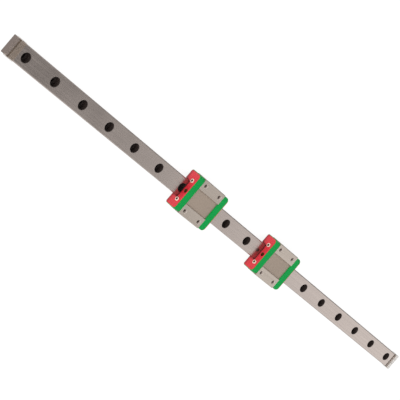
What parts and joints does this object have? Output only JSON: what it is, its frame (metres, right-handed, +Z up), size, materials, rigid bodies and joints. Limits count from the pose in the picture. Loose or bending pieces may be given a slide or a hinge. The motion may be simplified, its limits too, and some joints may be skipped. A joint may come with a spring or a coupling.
{
  "type": "miniature linear guide rail",
  "caption": "Slim ground-steel linear guide rail with counterbored bolt holes, short ball carriages with green end caps and red end seals that slide along it, and clear end stops.",
  "frame": {"origin": "on the rail's base, at mid-length and mid-width", "axes": "+X along the rail, from its left end in the picture to its right end; +Z up, out of the mounting base; +Y completes the frame"},
  "size_m": [0.4477, 0.027, 0.013],
  "materials": {
    "rail_steel": "ground, with fine lines along the rail",
    "block_steel": "ground pads and sides, matt sunk strip",
    "cap_plastic": "moulded, satin green",
    "seal_rubber": "moulded, semi-gloss red",
    "screw_steel": "bright plated",
    "stop_plastic": "clear, slightly milky"
  },
  "bodies": {
    "rail": {"rail": "rail_steel", "rail_end_stop_left": "stop_plastic", "rail_end_stop_right": "stop_plastic"},
    "carriage_1": {"carriage_1_block": "block_steel", "carriage_1_end_cap_front": "cap_plastic", "carriage_1_end_cap_rear": "cap_plastic", "carriage_1_end_seal_front": "seal_rubber", "carriage_1_end_seal_rear": "seal_rubber", "carriage_1_seal_screw_front_left": "screw_steel", "carriage_1_seal_screw_front_right": "screw_steel", "carriage_1_seal_screw_rear_left": "screw_steel", "carriage_1_seal_screw_rear_right": "screw_steel"},
    "carriage_2": {"carriage_2_block": "block_steel", "carriage_2_end_cap_front": "cap_plastic", "carriage_2_end_cap_rear": "cap_plastic", "carriage_2_end_seal_front": "seal_rubber", "carriage_2_end_seal_rear": "seal_rubber", "carriage_2_seal_screw_front_left": "screw_steel", "carriage_2_seal_screw_front_right": "screw_steel", "carriage_2_seal_screw_rear_left": "screw_steel", "carriage_2_seal_screw_rear_right": "screw_steel"}
  },
  "joints": [
    {"name": "carriage_1_slide", "type": "slide", "parent": "rail", "child": "carriage_1", "axis": [1, 0, 0], "range_m": [-0.1555, 0.0279]},
    {"name": "carriage_2_slide", "type": "slide", "parent": "rail", "child": "carriage_2", "axis": [1, 0, 0], "range_m": [-0.0279, 0.1563]}
  ]
}
